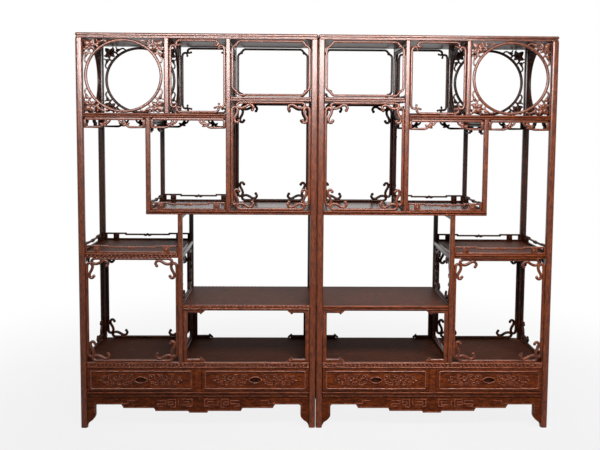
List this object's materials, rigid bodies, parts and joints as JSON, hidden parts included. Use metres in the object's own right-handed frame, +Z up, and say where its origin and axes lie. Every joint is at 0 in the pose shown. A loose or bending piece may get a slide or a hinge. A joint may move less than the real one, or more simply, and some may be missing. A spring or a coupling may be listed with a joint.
{
  "type": "curio shelf",
  "caption": "Pair of mirrored open hardwood display shelves with stepped cells, carved fretwork, low railings and pull-out drawers below.",
  "frame": {"origin": "on the floor, midway along the pair and midway through its depth", "axes": "+Z up, +X to the viewer's right along the pair, +Y from the front to the back"},
  "size_m": [2.158, 0.4, 1.8],
  "materials": {
    "frame_wood": "satin waxed dark red hardwood",
    "board_wood": "satin waxed dark brown hardwood",
    "fret_wood": "satin carved red-brown hardwood",
    "drawer_wood": "satin carved red hardwood",
    "lining_wood": "plain unwaxed secondary wood"
  },
  "bodies": {
    "cabinets": {"left_back_inner_post": "frame_wood", "left_back_outer_post": "frame_wood", "left_bracket_fret": "fret_wood", "left_deck": "board_wood", "left_drawer_case": "frame_wood", "left_drawer_floor": "board_wood", "left_front_apron": "frame_wood", "left_front_inner_post": "frame_wood", "left_front_outer_post": "frame_wood", "left_hanging_board": "board_wood", "left_hooked_fret": "fret_wood", "left_inner_hanging_fret": "fret_wood", "left_long_divider": "frame_wood", "left_lower_divider": "frame_wood", "left_lower_scroll_fret": "fret_wood", "left_middle_board": "board_wood", "left_moon_gate_fret": "fret_wood", "left_moon_partition": "frame_wood", "left_outer_hanging_fret": "fret_wood", "left_scroll_fret": "fret_wood", "left_short_board": "board_wood", "left_short_divider": "frame_wood", "left_side_board": "board_wood", "left_stepped_fret": "fret_wood", "left_top_board": "board_wood", "left_upper_board": "board_wood", "right_back_inner_post": "frame_wood", "right_back_outer_post": "frame_wood", "right_bracket_fret": "fret_wood", "right_deck": "board_wood", "right_drawer_case": "frame_wood", "right_drawer_floor": "board_wood", "right_front_apron": "frame_wood", "right_front_inner_post": "frame_wood", "right_front_outer_post": "frame_wood", "right_hanging_board": "board_wood", "right_hooked_fret": "fret_wood", "right_inner_hanging_fret": "fret_wood", "right_long_divider": "frame_wood", "right_lower_divider": "frame_wood", "right_lower_scroll_fret": "fret_wood", "right_middle_board": "board_wood", "right_moon_gate_fret": "fret_wood", "right_moon_partition": "frame_wood", "right_outer_hanging_fret": "fret_wood", "right_scroll_fret": "fret_wood", "right_short_board": "board_wood", "right_short_divider": "frame_wood", "right_side_board": "board_wood", "right_stepped_fret": "fret_wood", "right_top_board": "board_wood", "right_upper_board": "board_wood"},
    "left_inner_drawer": {"left_inner_drawer_box": "lining_wood", "left_inner_drawer_front": "drawer_wood"},
    "left_outer_drawer": {"left_outer_drawer_box": "lining_wood", "left_outer_drawer_front": "drawer_wood"},
    "right_inner_drawer": {"right_inner_drawer_box": "lining_wood", "right_inner_drawer_front": "drawer_wood"},
    "right_outer_drawer": {"right_outer_drawer_box": "lining_wood", "right_outer_drawer_front": "drawer_wood"}
  },
  "joints": [
    {"name": "left_inner_drawer_slide", "type": "slide", "parent": "cabinets", "child": "left_inner_drawer", "axis": [0, -1, 0], "range_m": [0, 0.24]},
    {"name": "left_outer_drawer_slide", "type": "slide", "parent": "cabinets", "child": "left_outer_drawer", "axis": [0, -1, 0], "range_m": [0, 0.24]},
    {"name": "right_inner_drawer_slide", "type": "slide", "parent": "cabinets", "child": "right_inner_drawer", "axis": [0, -1, 0], "range_m": [0, 0.24]},
    {"name": "right_outer_drawer_slide", "type": "slide", "parent": "cabinets", "child": "right_outer_drawer", "axis": [0, -1, 0], "range_m": [0, 0.24]}
  ]
}
